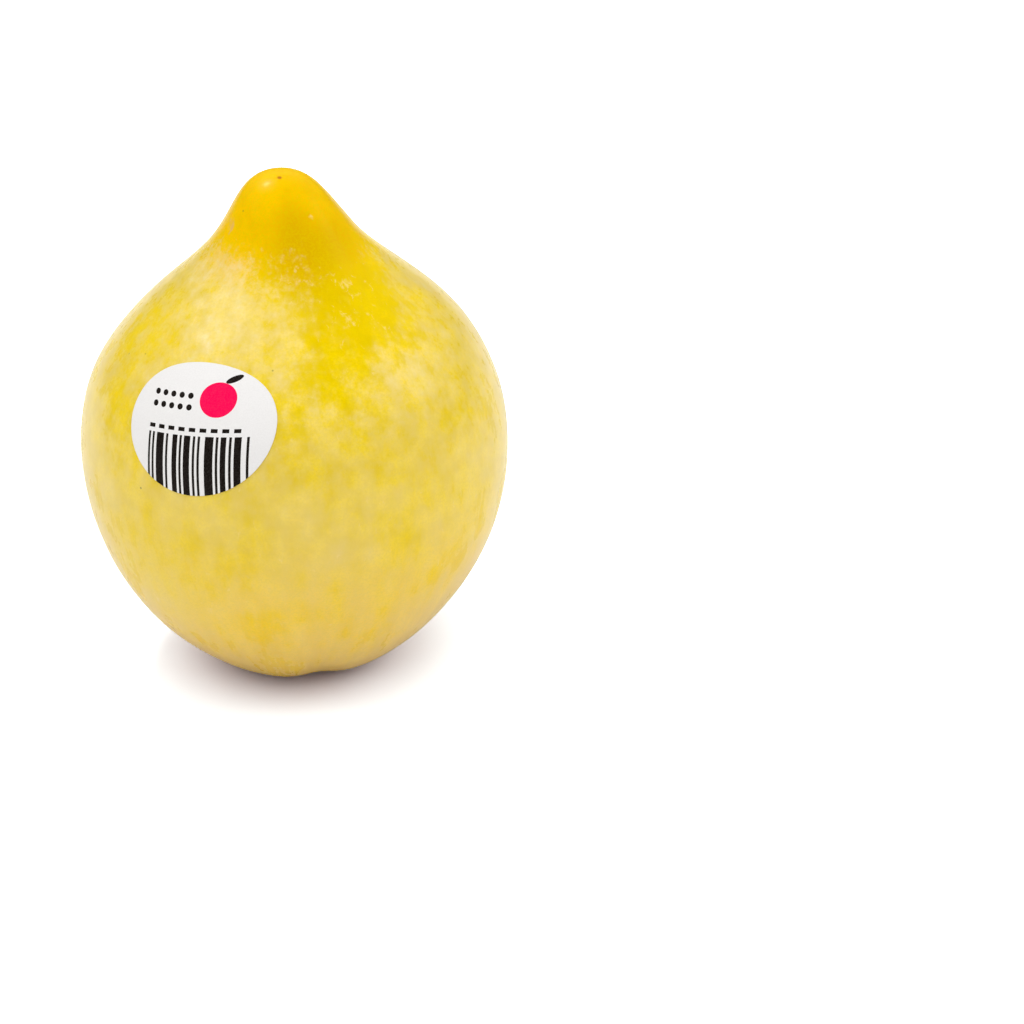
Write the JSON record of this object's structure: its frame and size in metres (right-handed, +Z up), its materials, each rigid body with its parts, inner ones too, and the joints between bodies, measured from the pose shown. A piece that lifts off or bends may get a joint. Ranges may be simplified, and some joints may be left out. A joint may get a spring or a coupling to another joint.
{
  "type": "plum",
  "caption": "Whole yellow plum of the pointed, lemon-like kind, standing on its stem end, with an oval paper fruit label on its side.",
  "frame": {"origin": "middle of the flat ring that the fruit stands on, at its stem end", "axes": "+Z up along the fruit from its stem end to its tip; the label is on the side towards -Y and -X, and +X is to the right of somebody who looks at it from the -Y side"},
  "size_m": [0.0562, 0.0558, 0.0693],
  "materials": {
    "skin": "ripe yellow fruit skin: waxy gloss on the golden tip, satin under a pale cream bloom on the body",
    "label": "satin coated paper sticker, off-white with dark bars and a pink fruit mark"
  },
  "bodies": {
    "root": {"plum": "skin", "label": "label"}
  },
  "joints": []
}
